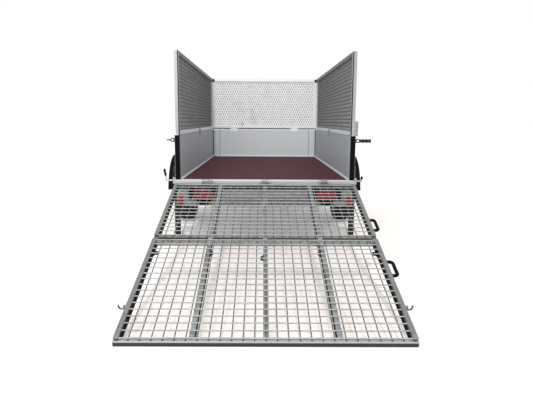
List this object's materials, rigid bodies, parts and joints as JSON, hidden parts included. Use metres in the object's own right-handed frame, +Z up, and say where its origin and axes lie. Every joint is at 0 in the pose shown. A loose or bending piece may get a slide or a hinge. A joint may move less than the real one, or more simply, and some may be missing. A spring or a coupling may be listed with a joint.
{
  "type": "car trailer with mesh sides and folding ramp",
  "caption": "Single-axle open car trailer with low board walls, expanded-metal upper sides and a folding mesh loading ramp at the rear.",
  "frame": {"origin": "on the ground, in the middle of the outline from the ramp's end to the coupling's nose", "axes": "+X to the right seen from behind, +Y forward to the coupling, +Z up"},
  "size_m": [1.768, 5.3856, 1.469],
  "materials": {
    "plywood": "film-faced plywood, dark red brown, satin",
    "aluminium": "bright mill finish",
    "wall_board": "grey anodised board",
    "galvanised": "hot-dip galvanised, spangled",
    "expanded_metal": "galvanised expanded metal",
    "black_steel": "black powder coat",
    "dark_steel": "dark painted steel",
    "black_plastic": "black moulded plastic",
    "black_rubber": "black rubber",
    "tyre": "tyre rubber",
    "rim_steel": "silver painted steel",
    "lens_red": "red prismatic reflector",
    "zinc": "zinc plated steel"
  },
  "bodies": {
    "trailer": {"floor_panel": "plywood", "floor_edge": "aluminium", "floor_trims": "aluminium", "side_wall_left": "wall_board", "side_wall_right": "wall_board", "front_wall": "wall_board", "corner_trims": "aluminium", "rear_posts": "aluminium", "post_seals": "black_rubber", "post_latches": "dark_steel", "rope_hooks": "zinc", "upper_frame_left": "aluminium", "upper_frame_right": "aluminium", "upper_frame_front": "aluminium", "upper_mesh_left": "expanded_metal", "upper_mesh_right": "expanded_metal", "upper_mesh_front": "expanded_metal", "upper_brackets": "zinc", "chassis_rails": "galvanised", "cross_members": "galvanised", "drawbar_tubes": "galvanised", "coupling_head": "zinc", "coupling_lever": "black_plastic", "axle_beam": "galvanised", "axle_arms": "galvanised", "mudguard_left": "black_plastic", "mudguard_right": "black_plastic", "light_board": "galvanised", "lamp_housings": "black_plastic", "lamp_reflectors": "lens_red", "side_reflectors": "lens_red", "stand_clamps": "zinc", "stand_levers": "zinc", "lever_grips": "black_plastic", "bed_hinges": "galvanised", "jockey_clamp": "zinc", "jockey_tube": "zinc"},
    "wheel_left": {"tyre_left": "tyre", "rim_left": "rim_steel"},
    "wheel_right": {"tyre_right": "tyre", "rim_right": "rim_steel"},
    "stand_left": {"stand_leg_left": "black_steel"},
    "stand_right": {"stand_leg_right": "black_steel"},
    "jockey_inner": {"jockey_leg": "zinc"},
    "jockey_fork": {"jockey_fork": "zinc"},
    "jockey_wheel": {"jockey_wheel": "black_rubber"},
    "ramp_upper": {"ramp_upper_frame": "galvanised", "ramp_upper_mesh": "galvanised", "ramp_upper_handle": "black_plastic", "fold_plates_upper": "dark_steel"},
    "ramp_lower": {"ramp_lower_frame": "galvanised", "ramp_lower_mesh": "galvanised", "ramp_lower_handle": "black_plastic", "fold_plates_lower": "dark_steel", "ramp_hooks": "zinc", "ramp_end_strip": "black_rubber"}
  },
  "joints": [
    {"name": "wheel_left_spin", "type": "hinge", "parent": "trailer", "child": "wheel_left", "pos_m": [-0.752, 0.15976, 0.289], "axis": [1, 0, 0], "continuous": true},
    {"name": "wheel_right_spin", "type": "hinge", "parent": "trailer", "child": "wheel_right", "pos_m": [0.752, 0.15976, 0.289], "axis": [1, 0, 0], "continuous": true},
    {"name": "stand_left_slide", "type": "slide", "parent": "trailer", "child": "stand_left", "axis": [0, 0, 1], "range_m": [0, 0.35]},
    {"name": "stand_right_slide", "type": "slide", "parent": "trailer", "child": "stand_right", "axis": [0, 0, 1], "range_m": [0, 0.35]},
    {"name": "jockey_slide", "type": "slide", "parent": "trailer", "child": "jockey_inner", "axis": [0, 0, 1], "range_m": [0, 0.148]},
    {"name": "jockey_swivel", "type": "hinge", "parent": "jockey_inner", "child": "jockey_fork", "pos_m": [-0.19953, 2.14476, 0.2], "axis": [0, 0, 1], "continuous": true},
    {"name": "jockey_roll", "type": "hinge", "parent": "jockey_fork", "child": "jockey_wheel", "pos_m": [-0.19953, 2.11076, 0.1], "axis": [1, 0, 0], "continuous": true},
    {"name": "ramp_hinge", "type": "hinge", "parent": "trailer", "child": "ramp_upper", "pos_m": [0, -1.07524, 0.528], "axis": [-1, 0, 0], "range_deg": [0, 106.39]},
    {"name": "ramp_fold", "type": "hinge", "parent": "ramp_upper", "child": "ramp_lower", "pos_m": [0, -1.85172, 0.22649], "axis": [1, 0, 0], "range_deg": [0, 180]}
  ]
}
